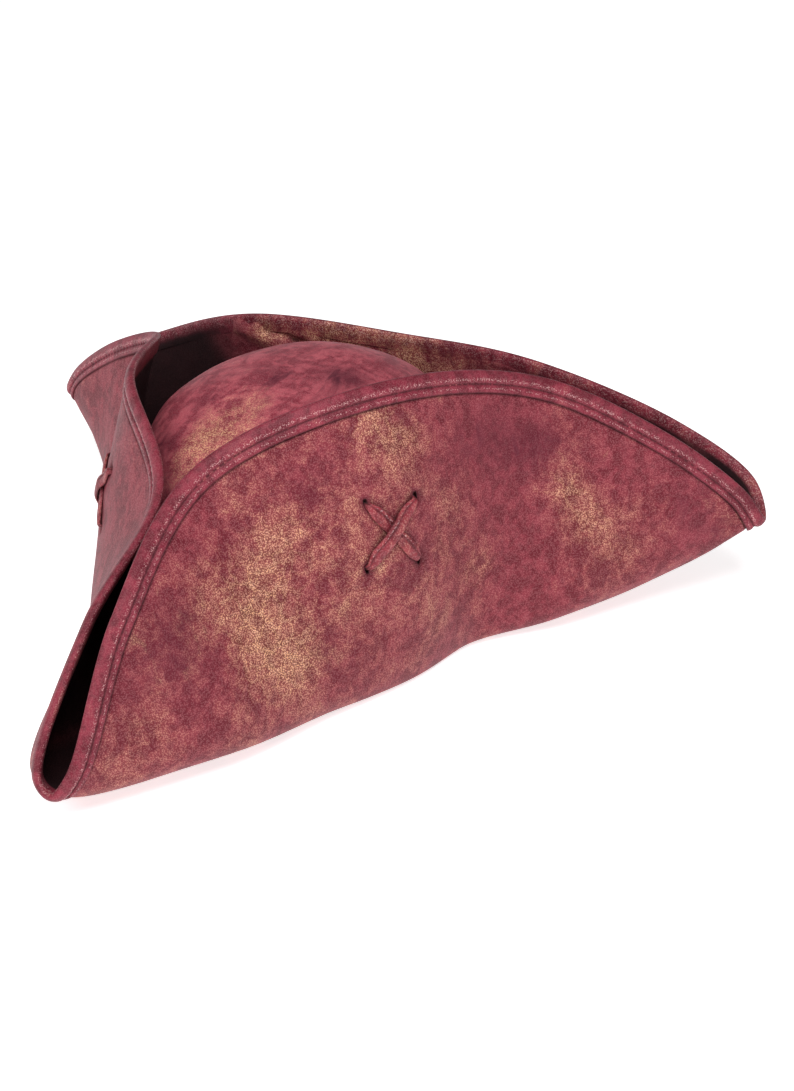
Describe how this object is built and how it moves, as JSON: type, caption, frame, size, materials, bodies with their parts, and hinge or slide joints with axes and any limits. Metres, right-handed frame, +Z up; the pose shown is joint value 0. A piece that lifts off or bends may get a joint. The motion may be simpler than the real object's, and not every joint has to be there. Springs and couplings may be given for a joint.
{
  "type": "tricorn hat",
  "caption": "Soft leather tricorn hat: domed crown on a round brim folded up into flaps, bound edge and crossed laces; sits on a head or rests on a shelf.",
  "frame": {"origin": "middle of the hat's outline from above, on the plane it rests on", "axes": "+Z up, front corner towards -Y, wearer's left towards +X"},
  "size_m": [0.4366, 0.3706, 0.1582],
  "materials": {
    "crown_leather": "soft burgundy leather, faint gold foil",
    "brim_leather": "pebbled burgundy leather with rubbed gold foil",
    "binding_leather": "rubbed leather edge strip with glints",
    "lace_leather": "folded leather strap"
  },
  "bodies": {
    "root": {"crown": "crown_leather", "brim": "brim_leather", "edge_binding": "binding_leather", "lace_left_under": "lace_leather", "lace_left_over": "lace_leather", "lace_right_under": "lace_leather", "lace_right_over": "lace_leather"}
  },
  "joints": []
}
